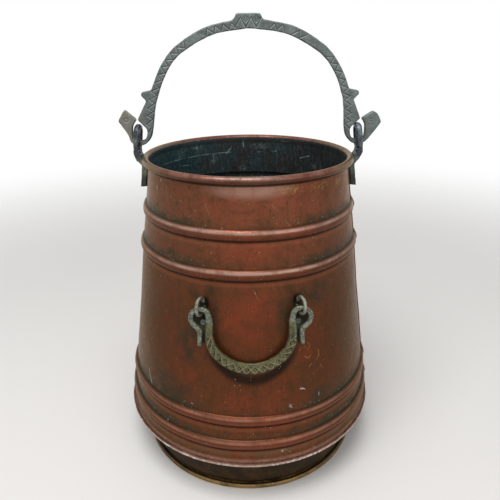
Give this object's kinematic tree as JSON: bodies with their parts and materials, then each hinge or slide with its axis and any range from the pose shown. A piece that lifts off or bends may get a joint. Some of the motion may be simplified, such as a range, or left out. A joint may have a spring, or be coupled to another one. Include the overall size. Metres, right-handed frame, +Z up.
{
  "type": "coal scuttle",
  "caption": "Tapered copper coal scuttle with ring beads, wired rim, foot ring, swinging forged bail hooked into iron ears, and a drop handle on the front.",
  "frame": {"origin": "on the ground plane, on the axis of the bucket, which is the centre of the underside of the bounding box", "axes": "+Z up along the bucket's axis; the drop handle is on the front, towards -Y; the side seam and the right ear are at +X"},
  "size_m": [0.2722, 0.273, 0.4555],
  "materials": {
    "copper": "dark red-brown patinated copper sheet",
    "foot_copper": "blackened copper sheet",
    "iron_wire": "bare iron wire",
    "ear_iron": "blue-black forged iron",
    "bail_iron": "grey-green forged iron, engraved and worn",
    "handle_brass": "tarnished olive brass, engraved",
    "rivet_copper": "tarnished copper"
  },
  "bodies": {
    "bucket": {"body_shell": "copper", "floor_pan": "copper", "foot_ring": "foot_copper", "rim_wire": "iron_wire", "foot_wire": "iron_wire", "ear_left": "ear_iron", "ear_right": "ear_iron", "ear_rivet_left_upper": "rivet_copper", "ear_rivet_left_lower": "rivet_copper", "ear_rivet_right_upper": "rivet_copper", "ear_rivet_right_lower": "rivet_copper", "ear_washer_left_upper": "rivet_copper", "ear_washer_left_lower": "rivet_copper", "ear_washer_right_upper": "rivet_copper", "ear_washer_right_lower": "rivet_copper", "handle_staple_left": "handle_brass", "handle_staple_right": "handle_brass", "staple_washer_left": "rivet_copper", "staple_washer_right": "rivet_copper", "handle_stud_left": "rivet_copper", "handle_stud_right": "rivet_copper"},
    "bail": {"bail": "bail_iron"},
    "front_handle": {"front_handle": "handle_brass"}
  },
  "joints": [
    {"name": "bail_swing", "type": "hinge", "parent": "bucket", "child": "bail", "pos_m": [0, 0, 0.3326], "axis": [1, 0, 0], "range_deg": [-94.5, 94.5]},
    {"name": "front_handle_swing", "type": "hinge", "parent": "bucket", "child": "front_handle", "pos_m": [0.00159, -0.11402, 0.20368], "axis": [-0.9999, -0.014, 0], "range_deg": [0, 171]}
  ]
}
